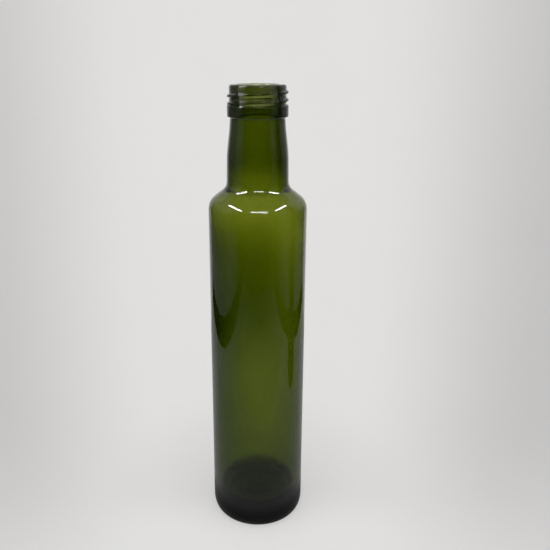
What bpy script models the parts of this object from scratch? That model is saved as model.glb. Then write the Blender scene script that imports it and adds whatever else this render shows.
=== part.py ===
"""An empty oil bottle of dark green glass, with a screw finish and no cap.

The bottle is one solid: a profile turned about Z, with a helical thread joined
to its finish and a small moulded notch cut into its heel. It stands on its
bearing ring with the origin at the centre of its foot, and +Z is up.
"""
import math

import bmesh
import bpy

MM = 0.001

# Heights above the foot
HEIGHT = 230.0 * MM
BAND_TOP = 220.8 * MM
BAND_BOTTOM = 215.1 * MM
BORE_END = 213.0 * MM
NECK_FLARE_END = 193.3 * MM
NECK_INSIDE_END = 196.0 * MM

# Outer radii
FINISH_RADIUS = 13.6 * MM
BAND_RADIUS = 14.7 * MM
NECK_TOP_RADIUS = 13.3 * MM
NECK_RADIUS = 15.05 * MM
NECK_FOOT_RADIUS = 15.2 * MM
BODY_RADIUS = 24.4 * MM

# Inner radii
BORE_RADIUS = 9.8 * MM
NECK_INNER_RADIUS = 11.1 * MM
THROAT_RADIUS = 12.3 * MM

# Rounds and slopes
LIP_OUTER_ROUND = 1.2 * MM
LIP_INNER_ROUND = 0.9 * MM
BAND_TOP_ROUND = 0.7 * MM
BAND_FOOT_ROUND = 0.4 * MM
NECK_FILLET = 5.4 * MM
THROAT_ROUND = 5.0 * MM
SHOULDER_SLOPE = 38.0
SHOULDER_ROUND = 8.1 * MM
SHOULDER_TANGENT = 170.2 * MM
ROUND_CENTRE = (BODY_RADIUS - SHOULDER_ROUND, SHOULDER_TANGENT)
HEEL_WIDTH = 3.4 * MM
HEEL_HEIGHT = 6.5 * MM

# Wall thickness: at the shoulder, at four heights of the body, and above the base
SHOULDER_WALL = 2.1 * MM
BODY_WALLS = (
    (146.0 * MM, 3.5 * MM),
    (120.0 * MM, 4.0 * MM),
    (86.0 * MM, 3.0 * MM),
    (45.0 * MM, 3.1 * MM),
)
BASE_WALL = 3.6 * MM

# Base: a flat bearing ring round a shallow punt, under a crowned floor
RING_INNER_RADIUS = 17.4 * MM
PUNT_HEIGHT = 3.4 * MM
FLOOR_HEIGHT = 8.0 * MM
FLOOR_CROWN = 3.4 * MM
FLOOR_CORNER = 10.0 * MM

# Thread: a right-hand helix that starts below the lip and runs into the band
THREAD_PITCH = 3.56 * MM
THREAD_RADIUS = 1.0 * MM
THREAD_HEIGHT_AT_X = 226.45 * MM
THREAD_START_ANGLE = math.radians(60.0)
THREAD_END_ANGLE = math.radians(-565.0)
THREAD_RUN_OUT = math.radians(28.0)
THREAD_TIP_SHARE = 0.2
THREAD_POINTS_PER_TURN = 38

# Notch in the heel, near -Y
NOTCH_ANGLE = math.radians(-85.5)
NOTCH_WIDTH = 4.4 * MM
NOTCH_BOTTOM = 3.6 * MM
NOTCH_TOP = 8.6 * MM
NOTCH_DEPTH = 0.8 * MM

SEGMENTS = 60
MERGE_DISTANCE = 0.00001


def arc(centre, radius, start, end, steps):
    """Points on an arc in the profile's plane, between two angles in degrees."""
    points = []
    for step in range(steps + 1):
        angle = math.radians(start + (end - start) * step / steps)
        points.append((centre[0] + radius * math.cos(angle), centre[1] + radius * math.sin(angle)))
    return points


def smooth(amount):
    """The smoothstep of a number, held between 0 and 1."""
    held = min(max(amount, 0.0), 1.0)
    return held * held * (3.0 - 2.0 * held)


def lip():
    """From the bore over the lip to the finish."""
    top = HEIGHT - LIP_INNER_ROUND
    inner = arc((BORE_RADIUS + LIP_INNER_ROUND, top), LIP_INNER_ROUND, 180, 90, 3)
    top = HEIGHT - LIP_OUTER_ROUND
    outer = arc((FINISH_RADIUS - LIP_OUTER_ROUND, top), LIP_OUTER_ROUND, 90, 0, 4)
    return inner + outer


def band():
    """The plain band below the thread."""
    upper_centre = (BAND_RADIUS - BAND_TOP_ROUND, BAND_TOP - BAND_TOP_ROUND)
    upper = arc(upper_centre, BAND_TOP_ROUND, 90, 0, 3)
    lower_centre = (BAND_RADIUS - BAND_FOOT_ROUND, BAND_BOTTOM + BAND_FOOT_ROUND)
    lower = arc(lower_centre, BAND_FOOT_ROUND, 0, -90, 2)
    return [(FINISH_RADIUS, BAND_TOP)] + upper + lower


def neck():
    """The neck, which widens in a soft S from the band to an almost straight stretch."""
    steps = 7
    points = []
    for step in range(steps + 1):
        along = step / steps
        height = BAND_BOTTOM + (NECK_FLARE_END - BAND_BOTTOM) * along
        points.append((NECK_TOP_RADIUS + (NECK_RADIUS - NECK_TOP_RADIUS) * smooth(along), height))
    return points


def corner_centre(radius, corner_round, wall):
    """Centre of the round between an upright line and the slope, that far under the shoulder's surface."""
    slope = math.radians(SHOULDER_SLOPE)
    round_radius, round_height = ROUND_CENTRE
    reach = SHOULDER_ROUND - wall + corner_round
    across = radius + corner_round - round_radius
    return radius + corner_round, round_height + (reach - across * math.sin(slope)) / math.cos(slope)


def shoulder():
    """A fillet from the neck, a slope, and a round into the body."""
    centre = corner_centre(NECK_FOOT_RADIUS, NECK_FILLET, 0.0)
    fillet = arc(centre, NECK_FILLET, 180, 270 - SHOULDER_SLOPE, 4)
    return fillet + arc(ROUND_CENTRE, SHOULDER_ROUND, 90 - SHOULDER_SLOPE, 0, 6)


def heel():
    """A quarter of an oval, taller than it is wide, from the body down to the bearing ring."""
    steps = 6
    points = []
    for step in range(steps + 1):
        angle = math.radians(90.0 * step / steps)
        radius = BODY_RADIUS - HEEL_WIDTH * (1.0 - math.cos(angle))
        points.append((radius, HEEL_HEIGHT * (1.0 - math.sin(angle))))
    return points


def punt():
    """From the bearing ring's inner edge up to the axis."""
    steps = 6
    points = []
    for step in range(steps + 1):
        along = step / steps
        points.append((RING_INNER_RADIUS * (1.0 - along), PUNT_HEIGHT * smooth(along)))
    return points


def inside():
    """The hollow, from the middle of the floor up to the bore."""
    corner_radius = BODY_RADIUS - BASE_WALL - FLOOR_CORNER
    steps = 3
    floor = []
    for step in range(steps):
        along = step / steps
        floor.append((corner_radius * along, FLOOR_HEIGHT + FLOOR_CROWN * smooth(1.0 - along)))
    corner = arc((corner_radius, FLOOR_HEIGHT + FLOOR_CORNER), FLOOR_CORNER, -90, 0, 4)
    walls = [(BODY_RADIUS - wall, height) for height, wall in reversed(BODY_WALLS)]
    under_shoulder = arc(ROUND_CENTRE, SHOULDER_ROUND - SHOULDER_WALL, 0, 90 - SHOULDER_SLOPE, 4)
    centre = corner_centre(THROAT_RADIUS, THROAT_ROUND, SHOULDER_WALL)
    throat = arc(centre, THROAT_ROUND, 270 - SHOULDER_SLOPE, 180, 3)
    neck_inside = [(NECK_INNER_RADIUS, NECK_INSIDE_END), (BORE_RADIUS, BORE_END)]
    return floor + corner + walls + under_shoulder + throat + neck_inside


def profile():
    """The whole outline, from the axis inside, over the lip, to the axis under the foot."""
    return inside() + lip() + band() + neck() + shoulder() + heel() + punt()


def glass_material():
    """Dark olive green glass."""
    green = (0.10, 0.13, 0.01, 1.0)
    material = bpy.data.materials.new("green_glass")
    material.use_nodes = True
    material.diffuse_color = green
    shader = material.node_tree.nodes["Principled BSDF"]
    shader.inputs["Base Color"].default_value = green
    shader.inputs["Roughness"].default_value = 0.03
    shader.inputs["Metallic"].default_value = 0.0
    shader.inputs["Transmission Weight"].default_value = 0.9
    shader.inputs["IOR"].default_value = 1.52
    return material


def turned_bottle(collection):
    """The profile as a chain of edges, turned about Z by a Screw modifier."""
    points = profile()
    vertices = [(radius, 0.0, height) for radius, height in points]
    edges = [(index, index + 1) for index in range(len(points) - 1)]
    mesh = bpy.data.meshes.new("bottle")
    mesh.from_pydata(vertices, edges, [])
    mesh.materials.append(glass_material())
    bottle = bpy.data.objects.new("bottle", mesh)
    collection.objects.link(bottle)
    screw = bottle.modifiers.new("turn", "SCREW")
    screw.axis = "Z"
    screw.angle = math.tau
    screw.steps = SEGMENTS
    screw.render_steps = SEGMENTS
    screw.use_merge_vertices = True
    screw.merge_threshold = MERGE_DISTANCE
    screw.use_smooth_shade = True
    return bottle


def thread_points():
    """Centre line of the thread, with the share of its full section at each point."""
    sweep = THREAD_END_ANGLE - THREAD_START_ANGLE
    count = round(abs(sweep) / math.tau * THREAD_POINTS_PER_TURN)
    points = []
    for step in range(count + 1):
        angle = THREAD_START_ANGLE + sweep * step / count
        from_end = min(abs(angle - THREAD_START_ANGLE), abs(angle - THREAD_END_ANGLE))
        share = THREAD_TIP_SHARE + (1.0 - THREAD_TIP_SHARE) * smooth(from_end / THREAD_RUN_OUT)
        radius = FINISH_RADIUS - THREAD_RADIUS * (1.0 - share) / 2
        height = THREAD_HEIGHT_AT_X + THREAD_PITCH * angle / math.tau
        points.append(((radius * math.cos(angle), radius * math.sin(angle), height), share))
    return points


def thread_ridge(collection):
    """The thread as a closed mesh, made from a curve that tapers at both ends."""
    curve = bpy.data.curves.new("thread_line", "CURVE")
    curve.dimensions = "3D"
    curve.bevel_depth = THREAD_RADIUS
    curve.bevel_resolution = 2
    curve.use_fill_caps = True
    points = thread_points()
    spline = curve.splines.new("POLY")
    spline.points.add(len(points) - 1)
    for target, (place, share) in zip(spline.points, points):
        target.co = (*place, 1.0)
        target.radius = share
    line = bpy.data.objects.new("thread_line", curve)
    collection.objects.link(line)
    bpy.context.view_layer.update()
    evaluated = line.evaluated_get(bpy.context.evaluated_depsgraph_get())
    mesh = bpy.data.meshes.new_from_object(evaluated)
    welded = bmesh.new()
    welded.from_mesh(mesh)
    bmesh.ops.remove_doubles(welded, verts=welded.verts, dist=MERGE_DISTANCE)
    bmesh.ops.recalc_face_normals(welded, faces=welded.faces)
    welded.to_mesh(mesh)
    welded.free()
    ridge = bpy.data.objects.new("thread_ridge", mesh)
    ridge.matrix_world = line.matrix_world
    collection.objects.link(ridge)
    bpy.data.objects.remove(line)
    return ridge


def notch_cutter(collection):
    """A tall rounded form whose near side dips into the heel."""
    half_width = NOTCH_WIDTH / 2
    radius = (half_width ** 2 + NOTCH_DEPTH ** 2) / (2 * NOTCH_DEPTH)
    distance = BODY_RADIUS - NOTCH_DEPTH + radius
    bpy.ops.mesh.primitive_uv_sphere_add(segments=32, ring_count=16, radius=radius)
    cutter = bpy.context.active_object
    cutter.name = "notch_cutter"
    for owner in list(cutter.users_collection):
        owner.objects.unlink(cutter)
    collection.objects.link(cutter)
    cutter.location = (
        distance * math.cos(NOTCH_ANGLE),
        distance * math.sin(NOTCH_ANGLE),
        (NOTCH_TOP + NOTCH_BOTTOM) / 2,
    )
    cutter.rotation_euler = (0.0, 0.0, NOTCH_ANGLE)
    cutter.scale = (1.0, 1.0, (NOTCH_TOP - NOTCH_BOTTOM) / NOTCH_WIDTH)
    return cutter


def boolean(target, guide, operation):
    """Joins or cuts the target with an exact Boolean, and marks the other mesh as a guide."""
    modifier = target.modifiers.new(guide.name, "BOOLEAN")
    modifier.operation = operation
    modifier.solver = "EXACT"
    modifier.object = guide
    guide.hide_render = True
    guide.display_type = "WIRE"


def build():
    """Clears the scene and makes the bottle."""
    for leftover in list(bpy.data.objects):
        bpy.data.objects.remove(leftover)
    parts = bpy.data.collections.new("oil_bottle")
    guides = bpy.data.collections.new("guides")
    bpy.context.scene.collection.children.link(parts)
    bpy.context.scene.collection.children.link(guides)
    bottle = turned_bottle(parts)
    boolean(bottle, thread_ridge(guides), "UNION")
    boolean(bottle, notch_cutter(guides), "DIFFERENCE")


build()
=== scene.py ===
# %% [markdown]
# # A green glass oil bottle
# The real bottle is blown in an iron mould, so it is one piece of glass: a thick foot, a straight body,
# a sloped shoulder, a flared neck and a screw finish. It is empty and has no cap or label. The packed
# model gives its place and its outer box. This lesson builds the fine glass around it, then the studio.

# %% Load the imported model
import math
import bmesh
import bpy
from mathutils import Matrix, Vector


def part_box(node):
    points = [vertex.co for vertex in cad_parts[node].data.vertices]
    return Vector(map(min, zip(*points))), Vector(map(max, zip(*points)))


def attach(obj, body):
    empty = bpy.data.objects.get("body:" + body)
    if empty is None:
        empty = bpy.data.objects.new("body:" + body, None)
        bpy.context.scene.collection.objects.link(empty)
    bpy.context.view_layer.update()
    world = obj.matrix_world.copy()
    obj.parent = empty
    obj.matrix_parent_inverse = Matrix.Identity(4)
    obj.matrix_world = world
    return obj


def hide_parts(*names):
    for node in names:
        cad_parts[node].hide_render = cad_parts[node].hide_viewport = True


MM = 0.001
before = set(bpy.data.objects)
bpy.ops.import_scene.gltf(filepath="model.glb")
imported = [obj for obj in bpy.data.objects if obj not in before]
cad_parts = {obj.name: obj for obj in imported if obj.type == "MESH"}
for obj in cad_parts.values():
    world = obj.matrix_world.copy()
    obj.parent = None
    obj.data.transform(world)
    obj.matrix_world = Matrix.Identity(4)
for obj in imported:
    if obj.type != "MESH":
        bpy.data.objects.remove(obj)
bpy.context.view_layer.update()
foot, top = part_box("bottle")
HEIGHT = top.z - foot.z
BODY_RADIUS = (top.x - foot.x) / 2
print("bottle", round(HEIGHT / MM, 1), "mm tall,", round(2 * BODY_RADIUS / MM, 1), "mm across")

# %% [markdown]
# ## The outline
# Everything but the thread is the same all the way round, so the bottle is drawn once as an outline of
# radius and height, and turned. The outline runs up the inside, over the lip, down the outside and
# under the foot. Drawing with arcs keeps the rounds true, and the rows can be close where light bends
# most: at the lip, the shoulder and the heel.

# %% Arcs and soft steps
def arc(centre, radius, start, end, steps):
    """Points on an arc of the outline, between two angles in degrees."""
    points = []
    for step in range(steps + 1):
        angle = math.radians(start + (end - start) * step / steps)
        points.append((centre[0] + radius * math.cos(angle), centre[1] + radius * math.sin(angle)))
    return points


def smooth(amount):
    """A soft step from 0 to 1."""
    held = min(max(amount, 0.0), 1.0)
    return held * held * (3.0 - 2.0 * held)


def straight(start, end, steps):
    """Points between two places, without the places themselves."""
    points = []
    for step in range(1, steps):
        along = step / steps
        points.append((start[0] + (end[0] - start[0]) * along, start[1] + (end[1] - start[1]) * along))
    return points


# %% [markdown]
# The finish is what a glassmaker calls the top of the bottle: the lip, the thread and the plain band
# that a cap's ring locks under. Its edges are tight, so their rounds are small.

# %% Lip, finish and band
LIP_OUTER_ROUND = 1.2 * MM
LIP_INNER_ROUND = 0.9 * MM
BORE_RADIUS = 9.8 * MM
FINISH_RADIUS = 13.6 * MM
BAND_RADIUS = 14.7 * MM
BAND_TOP = 220.8 * MM
BAND_BOTTOM = 215.1 * MM
BAND_TOP_ROUND = 0.7 * MM
BAND_FOOT_ROUND = 0.4 * MM
THREAD_ROWS = 44


def lip_outline():
    """Over the lip, from the bore to the finish."""
    inner = arc((BORE_RADIUS + LIP_INNER_ROUND, HEIGHT - LIP_INNER_ROUND), LIP_INNER_ROUND, 180, 90, 6)
    outer = arc((FINISH_RADIUS - LIP_OUTER_ROUND, HEIGHT - LIP_OUTER_ROUND), LIP_OUTER_ROUND, 90, 0, 7)
    return inner + straight(inner[-1], outer[0], 3) + outer


def band_outline():
    """Down the threaded wall and round the plain band."""
    wall_top = (FINISH_RADIUS, HEIGHT - LIP_OUTER_ROUND)
    wall_end = (FINISH_RADIUS, BAND_TOP)
    upper_centre = (BAND_RADIUS - BAND_TOP_ROUND, BAND_TOP - BAND_TOP_ROUND)
    upper = arc(upper_centre, BAND_TOP_ROUND, 90, 0, 7)
    lower_centre = (BAND_RADIUS - BAND_FOOT_ROUND, BAND_BOTTOM + BAND_FOOT_ROUND)
    lower = arc(lower_centre, BAND_FOOT_ROUND, 0, -90, 5)
    wall = straight(wall_top, wall_end, THREAD_ROWS) + [wall_end]
    return wall + straight(wall_end, upper[0], 3) + upper + straight(upper[-1], lower[0], 6) + lower


print(len(lip_outline()) + len(band_outline()), "rows in the finish")

# %% [markdown]
# The neck widens in a soft S. The shoulder is a fillet, a slope and a round, which have to meet without
# a kink, so the slope's ends are worked out from the two radii and the angle.

# %% Neck and shoulder
NECK_TOP_RADIUS = 13.3 * MM
NECK_RADIUS = 15.05 * MM
NECK_FOOT_RADIUS = 15.2 * MM
NECK_FLARE_END = 193.3 * MM
NECK_FILLET = 5.4 * MM
SHOULDER_SLOPE = 38.0
SHOULDER_ROUND = 8.1 * MM
SHOULDER_TANGENT = 170.2 * MM
ROUND_CENTRE = (BODY_RADIUS - SHOULDER_ROUND, SHOULDER_TANGENT)


def neck_outline(rows=18):
    """Down the neck, from under the band to the end of its flare."""
    points = []
    for row in range(rows + 1):
        along = row / rows
        height = BAND_BOTTOM + (NECK_FLARE_END - BAND_BOTTOM) * along
        points.append((NECK_TOP_RADIUS + (NECK_RADIUS - NECK_TOP_RADIUS) * smooth(along), height))
    return points


def corner_centre(radius, corner_round, wall):
    """Centre of the round between an upright line and the slope, that far under the shoulder's surface."""
    slope = math.radians(SHOULDER_SLOPE)
    round_radius, round_height = ROUND_CENTRE
    reach = SHOULDER_ROUND - wall + corner_round
    across = radius + corner_round - round_radius
    return radius + corner_round, round_height + (reach - across * math.sin(slope)) / math.cos(slope)


def shoulder_outline():
    """From the neck through the fillet, the slope and the round, into the body."""
    centre = corner_centre(NECK_FOOT_RADIUS, NECK_FILLET, 0.0)
    fillet = arc(centre, NECK_FILLET, 180, 270 - SHOULDER_SLOPE, 10)
    turn = arc(ROUND_CENTRE, SHOULDER_ROUND, 90 - SHOULDER_SLOPE, 0, 14)
    neck_end = straight((NECK_RADIUS, NECK_FLARE_END), fillet[0], 5)
    slope = straight(fillet[-1], turn[0], 5)
    return neck_end + fillet + slope + turn


print(len(neck_outline()) + len(shoulder_outline()), "rows from the band to the body")

# %% [markdown]
# The foot is where the glass is thickest. The bottle stands on a flat ring, and inside the ring the
# glass is pushed up into a shallow punt.

# %% Body, heel and punt
HEEL_WIDTH = 3.4 * MM
HEEL_HEIGHT = 6.5 * MM
RING_INNER_RADIUS = 17.4 * MM
PUNT_HEIGHT = 3.4 * MM


def heel_outline(rows=12):
    """A quarter of an oval, taller than it is wide, from the body down to the bearing ring."""
    points = []
    for row in range(rows + 1):
        angle = math.radians(90.0 * row / rows)
        radius = BODY_RADIUS - HEEL_WIDTH * (1.0 - math.cos(angle))
        points.append((radius, HEEL_HEIGHT * (1.0 - math.sin(angle))))
    return points


def foot_outline():
    """Down the body, round the heel, over the bearing ring and up the punt to the axis."""
    heel = heel_outline()
    above_heel = (BODY_RADIUS, 12.0 * MM)
    body = straight((BODY_RADIUS, SHOULDER_TANGENT), above_heel, 24) + [above_heel]
    notch_zone = straight(above_heel, heel[0], 18)
    ring = straight(heel[-1], (RING_INNER_RADIUS, 0.0), 8)
    punt = []
    rows = 14
    for row in range(rows + 1):
        along = row / rows
        punt.append((RING_INNER_RADIUS * (1.0 - along), PUNT_HEIGHT * smooth(along)))
    return body + notch_zone + heel + ring + punt


print(len(foot_outline()), "rows in the body and the foot")

# %% [markdown]
# Blown glass is not even: it is thin at the shoulder, thicker lower down, and thickest at the base.
# The wall is given at a few heights, and blended softly between them.

# %% The hollow
SHOULDER_WALL = 2.1 * MM
BODY_WALLS = ((146.0 * MM, 3.5 * MM), (120.0 * MM, 4.0 * MM), (86.0 * MM, 3.0 * MM), (45.0 * MM, 3.1 * MM))
BASE_WALL = 3.6 * MM
FLOOR_HEIGHT = 8.0 * MM
FLOOR_CROWN = 3.4 * MM
FLOOR_CORNER = 10.0 * MM
THROAT_RADIUS = 12.3 * MM
THROAT_ROUND = 5.0 * MM
NECK_INNER_RADIUS = 11.1 * MM
NECK_INSIDE_END = 196.0 * MM
BORE_END = 213.0 * MM


def blended(start, end, rows):
    """Points that leave one radius and reach the next without a kink."""
    points = []
    for row in range(1, rows):
        along = row / rows
        radius = start[0] + (end[0] - start[0]) * smooth(along)
        points.append((radius, start[1] + (end[1] - start[1]) * along))
    return points


def inside_outline():
    """From the middle of the floor up to the bore."""
    corner_radius = BODY_RADIUS - BASE_WALL - FLOOR_CORNER
    rows = 10
    floor = []
    for row in range(rows):
        along = row / rows
        floor.append((corner_radius * along, FLOOR_HEIGHT + FLOOR_CROWN * smooth(1.0 - along)))
    points = floor + arc((corner_radius, FLOOR_HEIGHT + FLOOR_CORNER), FLOOR_CORNER, -90, 0, 10)
    stations = [(BODY_RADIUS - wall, height) for height, wall in reversed(BODY_WALLS)]
    under_shoulder = arc(ROUND_CENTRE, SHOULDER_ROUND - SHOULDER_WALL, 0, 90 - SHOULDER_SLOPE, 10)
    for station in stations + [under_shoulder[0]]:
        points += blended(points[-1], station, 8) + [station]
    centre = corner_centre(THROAT_RADIUS, THROAT_ROUND, SHOULDER_WALL)
    throat = arc(centre, THROAT_ROUND, 270 - SHOULDER_SLOPE, 180, 14)
    neck_inside = (NECK_INNER_RADIUS, NECK_INSIDE_END)
    bore_end = (BORE_RADIUS, BORE_END)
    points += under_shoulder[1:] + straight(under_shoulder[-1], throat[0], 5) + throat
    points += blended(throat[-1], neck_inside, 8) + [neck_inside]
    points += blended(neck_inside, bore_end, 10) + [bore_end]
    return points + straight(bore_end, (BORE_RADIUS, HEIGHT), 8)


outline = inside_outline() + lip_outline() + band_outline()
outline += neck_outline() + shoulder_outline() + foot_outline()
print(len(outline), "rows in the whole outline")

# %% [markdown]
# ## Node trees written as sums
# Both the shape and the glass are made with nodes. Wiring each Math node by hand hides the idea, so one
# small class wraps a socket, and a plus or a times on it adds the node. A second method adds any other
# kind of node.

# %% A socket that can be added and multiplied
class Wire:
    """A socket of a node tree. Arithmetic on it adds Math nodes to the tree."""

    def __init__(self, tree, socket=None):
        self.tree = tree
        self.socket = socket

    def plug(self, target, value):
        """Links a wire to a socket, or sets a plain value on it."""
        if isinstance(value, Wire):
            self.tree.links.new(value.socket, target)
        else:
            target.default_value = value

    def node(self, kind, settings, sockets, output=0):
        """Adds any node: its settings first, then its sockets, and returns one output."""
        added = self.tree.nodes.new(kind)
        for name, value in settings.items():
            setattr(added, name, value)
        for name, value in sockets.items():
            self.plug(added.inputs[name], value)
        return Wire(self.tree, added.outputs[output])

    def math(self, operation, *values):
        """A Math node on these values."""
        return self.node("ShaderNodeMath", {"operation": operation}, dict(enumerate(values)))

    def soft(self, low, high):
        """A soft step of this value between two limits."""
        sockets = {"Value": self, "From Min": low, "From Max": high}
        return self.node("ShaderNodeMapRange", {"interpolation_type": "SMOOTHSTEP"}, sockets)

    def __add__(self, other):
        return self.math("ADD", self, other)

    def __radd__(self, other):
        return self.math("ADD", other, self)

    def __sub__(self, other):
        return self.math("SUBTRACT", self, other)

    def __rsub__(self, other):
        return self.math("SUBTRACT", other, self)

    def __mul__(self, other):
        return self.math("MULTIPLY", self, other)

    def __rmul__(self, other):
        return self.math("MULTIPLY", other, self)

    def __truediv__(self, other):
        return self.math("DIVIDE", self, other)

    def __gt__(self, other):
        return self.math("GREATER_THAN", self, other)

    def __lt__(self, other):
        return self.math("LESS_THAN", self, other)

    def __abs__(self):
        return self.math("ABSOLUTE", self)


print("a wire knows", [name for name in ("plug", "node", "math", "soft") if hasattr(Wire, name)])

# %% [markdown]
# ## Turning the outline with Geometry Nodes
# A lathe could be a Screw modifier, but the thread, the heel's notch, the knurled foot and the small
# unevenness inside all change with the angle. Geometry Nodes can do it in one go: a grid has one row for
# each point of the outline and one column for each step round the axis, and every grid point is moved
# to the place that its row and column say. The sizes are named inputs of the tree.

# %% Sizes of what changes with the angle
SIZES = {
    "Segments": 300,
    "Inside Rows": float(len(inside_outline())),
    "Finish Radius": FINISH_RADIUS,
    "Thread Pitch": 3.56 * MM,
    "Thread Height": 1.0 * MM,
    "Thread Top Half Width": 0.25 * MM,
    "Thread Half Width": 1.25 * MM,
    "Thread Height At X": 226.45 * MM,
    "Thread Start Turns": 60.0 / 360.0,
    "Thread End Turns": -565.0 / 360.0,
    "Thread Run Out Turns": 28.0 / 360.0,
    "Notch Angle": math.radians(274.5),
    "Notch Half Width": 2.2 * MM,
    "Notch Half Height": 2.5 * MM,
    "Notch Middle": 6.1 * MM,
    "Notch Depth": 0.8 * MM,
    "Knurl Count": 60.0,
    "Knurl Depth": 0.22 * MM,
    "Seam Height": 0.05 * MM,
    "Wave Height": 0.35 * MM,
    "Thin Side": 1.1 * MM,
    "Thick Side": 0.5 * MM,
}
print(len(SIZES), "named sizes")

# %% [markdown]
# The thread is a helix, so its crest climbs one pitch for each turn. At any point of the finish the
# nearest crest is found by rounding, and the ridge is a soft bump of the distance to it. Both ends run
# out softly, and the larger of the ridge and the band wins where they meet.

# %% Thread, notch, knurl and seam as sums
SKIN_RADIUS = 12.5 * MM
SOFT_EDGE = 0.6
RING_FLAT = 0.05 * MM
KNURL_BEND = 2.0
SEAM_HALF_WIDTH = 0.9 * MM
SEAM_FOOT = 2.0 * MM


def thread_radius(radius, height, turns, outside, size):
    """The outline's radius, or the thread's where that stands further out."""
    phase = (height - size["Thread Height At X"]) / size["Thread Pitch"] - turns
    nearest = phase.math("ROUND", phase)
    distance = abs(phase - nearest) * size["Thread Pitch"]
    along = nearest + turns
    from_start = size["Thread Start Turns"] - along
    from_end = along - size["Thread End Turns"]
    run_out = phase.math("MINIMUM", from_start, from_end).soft(0.0, size["Thread Run Out Turns"])
    ridge = 1.0 - distance.soft(size["Thread Top Half Width"], size["Thread Half Width"])
    crest = size["Thread Height"] * ridge * run_out
    on_finish = outside * (radius > SKIN_RADIUS) * (height > BAND_BOTTOM) * (crest > 0.0)
    return radius.math("MAXIMUM", radius, (size["Finish Radius"] + crest) * on_finish)


def notch_depth(radius, height, angle, outside, size):
    """How far the heel's notch dips in."""
    sideways = (angle - size["Notch Angle"]) * radius / size["Notch Half Width"]
    upwards = (height - size["Notch Middle"]) / size["Notch Half Height"]
    left = 1.0 - (sideways * sideways + upwards * upwards)
    return size["Notch Depth"] * left.soft(0.0, SOFT_EDGE) * outside


def knurl_rise(radius, height, angle, size):
    """How far the bearing ring lifts between its small crescent bars."""
    middle = (BODY_RADIUS - HEEL_WIDTH + RING_INNER_RADIUS) / 2
    half = (BODY_RADIUS - HEEL_WIDTH - RING_INNER_RADIUS) / 2
    across = (radius - middle) / half
    curve = across * across
    on_ring = (1.0 - curve).soft(0.0, SOFT_EDGE) * (height < RING_FLAT)
    bars = 0.5 - 0.5 * angle.math("COSINE", size["Knurl Count"] * angle + KNURL_BEND * curve)
    return size["Knurl Depth"] * on_ring * bars


def seam_rise(radius, height, angle, outside, size):
    """The faint ridge where the two halves of the mould met, at +X and -X."""
    away = abs(angle.math("SINE", angle)) * radius
    wall = outside * (radius > SKIN_RADIUS) * (height > SEAM_FOOT)
    return size["Seam Height"] * (1.0 - away.soft(0.0, SEAM_HALF_WIDTH)) * wall


print("four forms follow the angle")

# %% [markdown]
# The inner wall was never touched by the mould, so it waves a little. A slow noise in space moves it in
# and out by a part of a millimetre, which gives the glass its soft streaks. The waves, the thin side and
# the thick side each fill a stretch of the height, from four numbers in millimetres: where it starts, is
# full, starts to fade and ends.

# %% The tree
WAVE_STRETCH = (1.0, 1.0, 0.35)
WAVE_SCALE = 60.0
WAVE_HEIGHTS = (12.0, 30.0, 205.0, 215.0)
THIN_HEIGHTS = (88.0, 120.0, 152.0, 171.0)
THICK_HEIGHTS = (20.0, 50.0, 100.0, 125.0)
FACING_EDGE = (-0.1, 1.1)


def new_tree(sizes):
    """An empty geometry tree with its inputs, and wires to them."""
    tree = bpy.data.node_groups.new("turned_glass", "GeometryNodeTree")
    panel = tree.interface
    panel.new_socket("Geometry", in_out="OUTPUT", socket_type="NodeSocketGeometry")
    panel.new_socket("Outline", in_out="INPUT", socket_type="NodeSocketGeometry")
    panel.new_socket("Glass", in_out="INPUT", socket_type="NodeSocketMaterial")
    for name, value in sizes.items():
        kind = "NodeSocketInt" if isinstance(value, int) else "NodeSocketFloat"
        panel.new_socket(name, in_out="INPUT", socket_type=kind)
    entry = tree.nodes.new("NodeGroupInput")
    return tree, {socket.name: Wire(tree, socket) for socket in entry.outputs if socket.name}


def within(value, low, low_full, high_full, high):
    """1 in a stretch of the height, in millimetres, with soft ends."""
    return value.soft(low * MM, low_full * MM) * (1.0 - value.soft(high_full * MM, high * MM))


def inner_wave(spot, height, angle, inside, size):
    """The unevenness of the hollow's wall: waves, a thin side at +X and a thick one at -X."""
    stretch = spot.node("ShaderNodeVectorMath", {"operation": "MULTIPLY"}, {0: spot, 1: WAVE_STRETCH})
    sockets = {"Vector": stretch, "Scale": WAVE_SCALE, "Detail": 1.0, "Roughness": 0.4}
    noise = spot.node("ShaderNodeTexNoise", {"noise_dimensions": "3D"}, sockets)
    waves = (noise - 0.5) * size["Wave Height"] * within(height, *WAVE_HEIGHTS)
    facing = angle.math("COSINE", angle)
    thin = size["Thin Side"] * facing.soft(*FACING_EDGE) * within(height, *THIN_HEIGHTS)
    thick = size["Thick Side"] * (0.0 - facing).soft(*FACING_EDGE) * within(height, *THICK_HEIGHTS)
    return (waves + thin - thick) * inside


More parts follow.
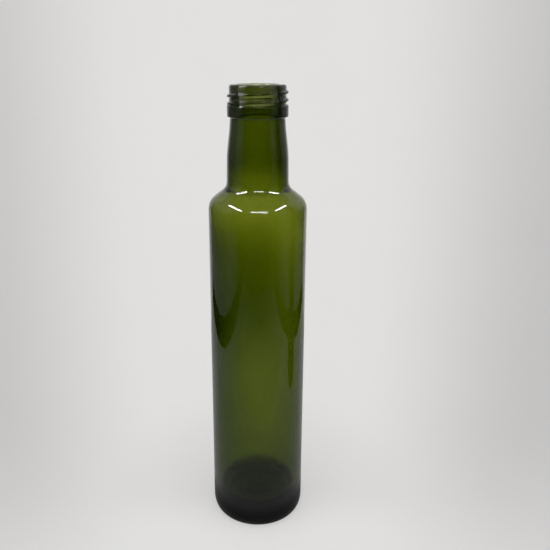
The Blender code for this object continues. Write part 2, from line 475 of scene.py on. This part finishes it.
def build_tree(sizes):
    """Grid, sampled outline, moved points, closed seams."""
    tree, size = new_tree(sizes)
    start = Wire(tree)
    sockets = {"Geometry": size["Outline"]}
    rows = start.node("GeometryNodeAttributeDomainSize", {"component": "MESH"}, sockets, "Point Count")
    columns = size["Segments"] + 1
    grid = start.node("GeometryNodeMeshGrid", {}, {"Vertices X": columns, "Vertices Y": rows}, "Mesh")
    index = start.node("GeometryNodeInputIndex", {}, {})
    column = start.math("FLOOR", (index + 0.5) / rows)
    row = index - column * rows
    place = start.node("GeometryNodeInputPosition", {}, {})
    settings = {"data_type": "FLOAT_VECTOR", "domain": "POINT"}
    sockets = {"Geometry": size["Outline"], "Value": place, "Index": row}
    spot = start.node("GeometryNodeSampleIndex", settings, sockets)
    radius = start.node("ShaderNodeSeparateXYZ", {}, {0: spot}, "X")
    height = start.node("ShaderNodeSeparateXYZ", {}, {0: spot}, "Z")
    turns = column / size["Segments"]
    angle = turns * math.tau
    cosine = start.math("COSINE", angle)
    sine = start.math("SINE", angle)
    sockets = {"X": radius * cosine, "Y": radius * sine, "Z": height}
    on_wall = start.node("ShaderNodeCombineXYZ", {}, sockets)
    inside = row < size["Inside Rows"]
    outside = 1.0 - inside
    shaped = thread_radius(radius, height, turns, outside, size)
    shaped = shaped - notch_depth(radius, height, angle, outside, size)
    shaped = shaped + seam_rise(radius, height, angle, outside, size)
    shaped = shaped + inner_wave(on_wall, height, angle, inside, size)
    lifted = height + knurl_rise(radius, height, angle, size)
    held = start.math("MINIMUM", shaped, BODY_RADIUS)
    sockets = {"X": held * cosine, "Y": held * sine, "Z": lifted}
    target = start.node("ShaderNodeCombineXYZ", {}, sockets)
    moved = start.node("GeometryNodeSetPosition", {}, {"Geometry": grid, "Position": target})
    closed = start.node("GeometryNodeMergeByDistance", {}, {"Geometry": moved, "Distance": 0.003 * MM})
    turned = start.node("GeometryNodeFlipFaces", {}, {"Mesh": closed})
    rounded = start.node("GeometryNodeSetShadeSmooth", {}, {"Geometry": turned})
    real = start.node("GeometryNodeRealizeInstances", {}, {"Geometry": rounded})
    glazed = start.node("GeometryNodeSetMaterial", {}, {"Geometry": real, "Material": size["Glass"]})
    leaving = tree.nodes.new("NodeGroupOutput")
    tree.links.new(glazed.socket, leaving.inputs["Geometry"])
    return tree


tree = build_tree(SIZES)
print(len(tree.nodes), "nodes turn the outline")

# %% [markdown]
# ## The glass itself
# Clear glass is a Principled shader with full transmission. The green is not on the surface: light loses
# its blue and most of its red and green on the way through, so a Volume Absorption node colours it, and
# thick places turn dark by themselves. The surface is fire-polished, with a faint orange-peel bump and
# a slight haze of handling.

# %% Green glass
GLASS_IOR = 1.52
ABSORBED_PER_METRE = 1000.0
KEPT_COLOUR = (0.605, 0.655, 0.02, 1.0)
SMUDGE_SCALE = 45.0
PEEL_SCALE = 260.0
PEEL_STRENGTH = 0.04
PEEL_DEPTH = 0.4 * MM
POLISH = 0.008
SMUDGE = 0.03
SMUDGE_EDGE = (0.55, 0.8)


def glass_material():
    """Dark olive green bottle glass."""
    material = bpy.data.materials.new("green_glass")
    material.use_nodes = True
    tree = material.node_tree
    shader = tree.nodes["Principled BSDF"]
    start = Wire(tree)
    place = start.node("ShaderNodeTexCoord", {}, {}, "Object")
    sockets = {"Vector": place, "Scale": SMUDGE_SCALE, "Detail": 4.0, "Roughness": 0.6}
    smudge = start.node("ShaderNodeTexNoise", {}, sockets)
    sockets = {"Vector": place, "Scale": PEEL_SCALE, "Detail": 1.0}
    peel = start.node("ShaderNodeTexNoise", {}, sockets)
    sockets = {"Height": peel, "Strength": PEEL_STRENGTH, "Distance": PEEL_DEPTH}
    bump = start.node("ShaderNodeBump", {}, sockets, "Normal")
    start.plug(shader.inputs["Roughness"], POLISH + SMUDGE * smudge.soft(*SMUDGE_EDGE))
    start.plug(shader.inputs["Normal"], bump)
    shader.inputs["Base Color"].default_value = (1.0, 1.0, 1.0, 1.0)
    shader.inputs["Transmission Weight"].default_value = 1.0
    shader.inputs["IOR"].default_value = GLASS_IOR
    sockets = {"Color": KEPT_COLOUR, "Density": ABSORBED_PER_METRE}
    tint = start.node("ShaderNodeVolumeAbsorption", {}, sockets)
    tree.links.new(tint.socket, tree.nodes["Material Output"].inputs["Volume"])
    return material


green_glass = glass_material()
print("green glass has", len(green_glass.node_tree.nodes), "nodes")

# %% [markdown]
# ## Baking the bottle
# The modifier's inputs are set by the sockets' identifiers. The result is then taken as a plain mesh,
# so that the finished piece carries no modifier, and the mesh is checked: each edge has two faces, and
# the volume is positive when the faces point outwards.

# %% Bake the bottle
def outline_object(points):
    """The outline as a chain of edges in the XZ plane."""
    mesh = bpy.data.meshes.new("outline")
    chain = [(index, index + 1) for index in range(len(points) - 1)]
    mesh.from_pydata([(radius, 0.0, height) for radius, height in points], chain, [])
    holder = bpy.data.objects.new("outline", mesh)
    bpy.context.scene.collection.objects.link(holder)
    return holder


def baked(holder, tree, values, name):
    """Runs the tree on the outline and keeps its result as a plain mesh object."""
    modifier = holder.modifiers.new("turn", "NODES")
    modifier.node_group = tree
    for item in tree.interface.items_tree:
        if item.item_type == "SOCKET" and item.name in values:
            modifier[item.identifier] = values[item.name]
    bpy.context.view_layer.update()
    seen = holder.evaluated_get(bpy.context.evaluated_depsgraph_get())
    mesh = bpy.data.meshes.new_from_object(seen)
    mesh.name = name
    piece = bpy.data.objects.new(name, mesh)
    bpy.context.scene.collection.objects.link(piece)
    bpy.data.objects.remove(holder)
    return piece


def measure(piece):
    """Prints whether a mesh is closed, and its size."""
    shape = bmesh.new()
    shape.from_mesh(piece.data)
    open_edges = sum(1 for edge in shape.edges if len(edge.link_faces) != 2)
    volume = shape.calc_volume(signed=True) / MM ** 3 / 1000
    triangles = sum(len(face.verts) - 2 for face in shape.faces)
    shape.free()
    print(piece.name, triangles, "triangles,", open_edges, "open edges,", round(volume, 1), "ml of glass")


bottle = baked(outline_object(outline), tree, {**SIZES, "Glass": green_glass}, "glass_bottle")
measure(bottle)

# %% [markdown]
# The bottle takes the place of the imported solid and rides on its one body.

# %% Hand the bottle to the frame
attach(bottle, "root")
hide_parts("bottle")
print("the bottle rides on root")

# %% [markdown]
# ## The studio
# The bottle stands in a small light box: a pale sheet that curves up behind, pale side walls, and three
# bars of lamps above, one at the front and one at each side. The sheet here is a round bowl, so the
# background stays pale from any side. Glass shows what is around it, so the walls matter as much as the
# lamps. They are cards that only the gloss sees.
#
# The sheet glows a little though it is no lamp, a painted light, and four soft rules shape that glow: a
# painted shadow right under the foot, a wide faint painted shade round it, painted light just in front of
# the foot, and painted shade that falls slowly towards both sides.

# %% The pale sheet
SHEET_FLAT_RADIUS = 0.75
SHEET_BEND = 0.45
SHEET_TOP = 1.6
SHEET_GLOW = 0.447
PAPER_DARK = (0.44, 0.437, 0.434, 1.0)
PAPER_LIGHT = (0.46, 0.457, 0.454, 1.0)
SHADE_HALF_WIDTH = 0.021
SHADE_HALF_LENGTH = 0.026
SHADE_MIDDLE = 0.012
SHADE_DEEP = 0.85
SHADE_DEEP_EDGE = (0.7, 1.35)
SHADE_WIDE = 0.12
SHADE_WIDE_EDGE = (1.0, 5.0)
FRONT_LIGHT = 0.2
FRONT_EDGE = (-0.03, 0.012)
SIDE_FALL = 0.45
SIDE_EDGE = (0.15, 0.5)
SIDE_FALL_START = (-0.2, 0.1)
SHEET_SPREAD = 0.314


def sheet_material():
    """Matt white paper with a very faint mottle, glowing with painted light, painted shadow and painted
    shade.
    """
    material = bpy.data.materials.new("white_sheet_painted_glow")
    material.use_nodes = True
    shader = material.node_tree.nodes["Principled BSDF"]
    start = Wire(material.node_tree)
    place = start.node("ShaderNodeTexCoord", {}, {}, "Object")
    mottle = start.node("ShaderNodeTexNoise", {}, {"Vector": place, "Scale": 6.0, "Detail": 3.0})
    sockets = {0: mottle, 6: PAPER_DARK, 7: PAPER_LIGHT}
    tone = start.node("ShaderNodeMix", {"data_type": "RGBA"}, sockets, 2)
    start.plug(shader.inputs["Base Color"], tone)
    shader.inputs["Roughness"].default_value = 0.9
    shader.inputs["Specular IOR Level"].default_value = 0.1
    x = start.node("ShaderNodeSeparateXYZ", {}, {0: place}, "X")
    y = start.node("ShaderNodeSeparateXYZ", {}, {0: place}, "Y")
    sideways = x / SHADE_HALF_WIDTH
    lengthways = (y - SHADE_MIDDLE) / SHADE_HALF_LENGTH
    away = start.math("SQRT", sideways * sideways + lengthways * lengthways)
    # Painted shadow under the foot, painted shade round it and painted light just in front of it.
    painted_foot_shadow = 1.0 - away.soft(*SHADE_DEEP_EDGE)
    near = 1.0 - away.soft(*SHADE_WIDE_EDGE)
    front = 1.0 - y.soft(*FRONT_EDGE)
    lit = 1.0 - SHADE_DEEP * painted_foot_shadow + (FRONT_LIGHT * front - SHADE_WIDE) * near
    slant = abs(x) / (start.math("MAXIMUM", y, 0.0) + SHEET_SPREAD)
    # Painted shade that falls towards both sides.
    lit = lit - SIDE_FALL * slant.soft(*SIDE_EDGE) * y.soft(*SIDE_FALL_START)
    sockets = {"Red": lit, "Green": lit * 0.995, "Blue": lit * 0.985}
    start.plug(shader.inputs["Emission Color"], start.node("ShaderNodeCombineColor", {}, sockets))
    shader.inputs["Emission Strength"].default_value = SHEET_GLOW
    return material


def sheet():
    """A flat disc that bends up into a round wall, turned by a Screw modifier."""
    points = [(0.0, 0.0), (0.1, 0.0), (0.3, 0.0)]
    points += arc((SHEET_FLAT_RADIUS, SHEET_BEND), SHEET_BEND, -90, 0, 24)
    points.append((SHEET_FLAT_RADIUS + SHEET_BEND, SHEET_TOP))
    holder = outline_object(points)
    holder.name = "pale_sheet"
    holder.data.materials.append(sheet_material())
    screw = holder.modifiers.new("turn", "SCREW")
    screw.steps = 96
    screw.render_steps = 96
    screw.use_merge_vertices = True
    screw.merge_threshold = 0.00001
    screw.use_smooth_shade = True
    return holder


sheet()
print("sheet", 2 * (SHEET_FLAT_RADIUS + SHEET_BEND), "m across")

# %% [markdown]
# A card is a flat shape that glows. It is hidden from the camera, casts no shadow and lights nothing:
# it only gives the gloss something to mirror. The front of a light box is open and dark, which is why
# the upper middle of the bottle shows clean green. The floor's glow fades towards that open front.

# %% Cards for the gloss
BOX_SIDE = 0.255
BOX_FRONT = -0.38
BOX_BACK = 0.25
BOX_TOP = 0.47
GAP_HEIGHT = 0.022
DARK = 0.004


def between(value, stops):
    """A value that passes softly through (place, amount) pairs."""
    amount = stops[0][1]
    for (low, low_amount), (high, high_amount) in zip(stops, stops[1:]):
        amount = amount + value.soft(low, high) * (high_amount - low_amount)
    return amount


def glow_material(name, glow, shade=None):
    """An even glow, or one dimmed by a rule of the place."""
    material = bpy.data.materials.new(name)
    material.use_nodes = True
    tree = material.node_tree
    tree.nodes.remove(tree.nodes["Principled BSDF"])
    start = Wire(tree)
    sockets = {"Strength": glow}
    if shade:
        place = start.node("ShaderNodeTexCoord", {}, {}, "Object")
        x, y, z = (start.node("ShaderNodeSeparateXYZ", {}, {0: place}, axis) for axis in "XYZ")
        left = shade(x, y, z)
        grey = {"Red": left, "Green": left, "Blue": left}
        sockets["Color"] = start.node("ShaderNodeCombineColor", {}, grey)
    light = start.node("ShaderNodeEmission", {}, sockets)
    tree.links.new(light.socket, tree.nodes["Material Output"].inputs["Surface"])
    return material


def card(name, corners, glow, shade=None):
    """A flat shape that only glossy rays see."""
    mesh = bpy.data.meshes.new(name)
    mesh.from_pydata(corners, [], [tuple(range(len(corners)))])
    mesh.materials.append(glow_material(name, glow, shade))
    plate = bpy.data.objects.new(name, mesh)
    bpy.context.scene.collection.objects.link(plate)
    plate.visible_camera = False
    plate.visible_diffuse = False
    plate.visible_transmission = False
    plate.visible_volume_scatter = False
    plate.visible_shadow = False
    return plate


def wall_card(name, x, y_range, z_range, glow, shade=None):
    """An upright card along a side of the light box."""
    low, high = y_range
    bottom, upper = z_range
    return card(name, [(x, low, bottom), (x, high, bottom), (x, high, upper), (x, low, upper)], glow, shade)


def level_card(name, x_range, y_range, z, glow, shade=None):
    """A level card."""
    left, right = x_range
    near, far = y_range
    return card(name, [(left, near, z), (right, near, z), (right, far, z), (left, far, z)], glow, shade)


def front_card(name, x_range, y, z_range, glow):
    """An upright card across the front."""
    left, right = x_range
    bottom, upper = z_range
    return card(name, [(left, y, bottom), (right, y, bottom), (right, y, upper), (left, y, upper)], glow)


print("the light box reaches from", BOX_FRONT, "m to", BOX_BACK, "m")

# %% [markdown]
# The box has two side walls, a roof and a floor. A rule of the place dims each one softly, with pairs of
# a place and an amount. A gap under the walls and a slot in the right wall stay dark: they are the dark
# points that the body shows low on each side. The floor's cards lie a step above each other.

# %% Walls, roof and floor
CARD_STEP = 0.2 * MM
LEFT_GLOW = 0.21
RIGHT_NEAR_GLOW = 0.16
RIGHT_FAR_GLOW = 0.19
ROOF_GLOW = 0.12
FLOOR_GLOW = 1.0
WALL_RIGHT = 0.262
SLOT = (-0.06, 0.012)
FLOOR_EDGE = [(-0.236, BOX_FRONT), (0.25, BOX_FRONT), (0.25, BOX_BACK), (-0.236, BOX_BACK)]
SLOT_EDGE = [(0.163, -0.016), (0.172, -0.042), (0.205, -0.056), (WALL_RIGHT, -0.06), (WALL_RIGHT, 0.016)]
SLOT_EDGE += [(0.205, 0.016), (0.172, 0.002)]
FLOOR_FADE = [(BOX_FRONT, 0.05), (-0.155, 0.23), (-0.11, 0.31), (0.02, 0.36), (0.09, 0.42)]
FLOOR_NEAR = [(0.031, 0.42), (0.043, 1.0)]
ROOF_PLAIN = 0.7
ROOF_SIDES = [(0.16, 0.0), (0.25, 1.8)]
ROOF_DEPTH = [(-0.05, 0.0), (0.1, 1.0)]
LOW_FADE = [(-0.31, 0.0), (-0.12, 1.0)]
LOW_RISE = [(0.045, 1.0), (0.115, 0.45), (0.15, 0.0)]
HIGH_RISE = [(0.115, 0.0), (0.15, 0.65), (0.2, 0.95), (0.24, 1.8)]
LEFT_HIGH = [(-0.24, 0.0), (-0.05, 1.15), (0.05, 0.9)]
RIGHT_HIGH = [(-0.26, 0.0), (-0.15, 1.0), (-0.08, 0.5), (0.012, 0.4), (0.07, 1.3), (0.14, 1.8)]


def left_shade(x, y, z):
    """The left wall: its foot fades to the open front, and its upper half glows further back."""
    return between(y, LOW_FADE) * between(z, LOW_RISE) + between(y, LEFT_HIGH) * between(z, HIGH_RISE)


def right_shade(x, y, z):
    """The right wall, whose upper half is unevenly lit."""
    return between(y, LOW_FADE) * between(z, LOW_RISE) + between(y, RIGHT_HIGH) * between(z, HIGH_RISE)


def roof_shade(x, y, z):
    """The roof is brighter along the walls, away from the front."""
    return ROOF_PLAIN + between(abs(x), ROOF_SIDES) * between(y, ROOF_DEPTH)


def floor_shade(x, y, z):
    """The floor fades to the front, and a painted shadow darkens it next to the bottle."""
    away = x.math("SQRT", x * x + y * y)
    return between(y, FLOOR_FADE) * between(away, FLOOR_NEAR)


WALL_HEIGHTS = (GAP_HEIGHT, BOX_TOP)
wall_card("left_wall", -BOX_SIDE, (BOX_FRONT, BOX_BACK), WALL_HEIGHTS, LEFT_GLOW, left_shade)
wall_card("left_gap", -BOX_SIDE, (BOX_FRONT, BOX_BACK), (0.0, GAP_HEIGHT), DARK)
wall_card("right_wall_near", WALL_RIGHT, (BOX_FRONT, SLOT[0]), WALL_HEIGHTS, RIGHT_NEAR_GLOW, right_shade)
wall_card("right_slot", WALL_RIGHT, SLOT, WALL_HEIGHTS, DARK)
wall_card("right_wall_far", WALL_RIGHT, (SLOT[1], BOX_BACK), WALL_HEIGHTS, RIGHT_FAR_GLOW, right_shade)
wall_card("right_gap", WALL_RIGHT, (BOX_FRONT, BOX_BACK), (0.0, GAP_HEIGHT), DARK)
front_card("open_front", (-BOX_SIDE, WALL_RIGHT), BOX_FRONT, (0.0, BOX_TOP), DARK)
level_card("roof", (-BOX_SIDE, WALL_RIGHT), (BOX_FRONT, BOX_BACK), BOX_TOP, ROOF_GLOW, roof_shade)
level_card("dark_floor", (-BOX_SIDE, WALL_RIGHT), (BOX_FRONT, BOX_BACK), CARD_STEP, DARK)
card("bright_floor", [(x, y, 2 * CARD_STEP) for x, y in FLOOR_EDGE], FLOOR_GLOW, floor_shade)
card("slot_floor", [(x, y, 3 * CARD_STEP) for x, y in SLOT_EDGE], DARK)
print("cards for the left, right, front, roof and floor")

# %% [markdown]
# Three bars of lamps run along the top corners of the box, tilted to face the bottle. Each leaves a thin
# bright streak on the lip, the thread, the fillet and the round of the shoulder. Their light on the sheet
# is soft, so it comes from the room, and the bars are cards too. Seen through the glass, each bar is
# swapped for a dim twin, a painted reflection that keeps the bars' glints inside the glass faint.

# %% Lamps
LAMP_TOP = 0.455
# The twin's share of a bar's glow: a painted reflection, dimmer than the bar.
INSIDE_SHARE = 0.009


def lamp_bar(name, outer_ends, inner_ends, drop, glow):
    """A bright tilted bar in a top corner, and a dim twin that only shows through the glass."""
    corners = [(x, y, LAMP_TOP - drop) for x, y in outer_ends] + [(x, y, LAMP_TOP) for x, y in inner_ends]
    card(name, corners, glow)
    twin = card(name + "_inside", corners, glow * INSIDE_SHARE)
    twin.visible_glossy = False
    twin.visible_transmission = True


lamp_bar("front_lamps", [(-0.11, -0.378), (0.16, -0.378)], [(0.155, -0.32), (-0.105, -0.32)], 0.04, 16.0)
lamp_bar("left_lamps", [(-0.254, -0.26), (-0.254, 0.042)], [(-0.234, 0.042), (-0.234, -0.26)], 0.028, 42.0)
lamp_bar("right_lamps", [(0.261, -0.24), (0.261, 0.042)], [(0.239, 0.042), (0.239, -0.24)], 0.024, 42.0)
world = bpy.data.worlds.new("soft_room")
bpy.context.scene.world = world
world.use_nodes = True
world.node_tree.nodes["Background"].inputs["Color"].default_value = (1.0, 0.995, 0.99, 1.0)
world.node_tree.nodes["Background"].inputs["Strength"].default_value = 0.7
print("three bars below", LAMP_TOP, "m and a soft room")

# %% [markdown]
# ## The camera
# The photo was taken from close by, just above the lip's height, looking down. The bottle's outline
# gives the lens: how fast the body narrows downwards, and how round the foot looks. The picture is
# 550 by 550 pixels, and the bottle stands a little left of its middle.

# %% Camera
PICTURE = 550
FOCAL_PIXELS = 645.5
CAMERA_DISTANCE = 313.7 * MM
CAMERA_HEIGHT = 241.3 * MM
CAMERA_DOWN = math.radians(16.99)
AXIS_PIXEL_X = 257.7
LENS_AXIS_PIXEL_Y = 256.2

lens = bpy.data.cameras.new("camera")
lens.sensor_width = 36.0
lens.lens = FOCAL_PIXELS / PICTURE * lens.sensor_width
lens.shift_x = (PICTURE / 2 - AXIS_PIXEL_X) / PICTURE
lens.shift_y = (LENS_AXIS_PIXEL_Y - PICTURE / 2) / PICTURE
lens.clip_start = 0.01
camera = bpy.data.objects.new("camera", lens)
camera.location = (0.0, -CAMERA_DISTANCE, CAMERA_HEIGHT)
camera.rotation_euler = (math.pi / 2 - CAMERA_DOWN, 0.0, 0.0)
bpy.context.scene.collection.objects.link(camera)
bpy.context.scene.camera = camera
bpy.context.scene.view_settings.view_transform = "Standard"
print("lens", round(lens.lens, 1), "mm")
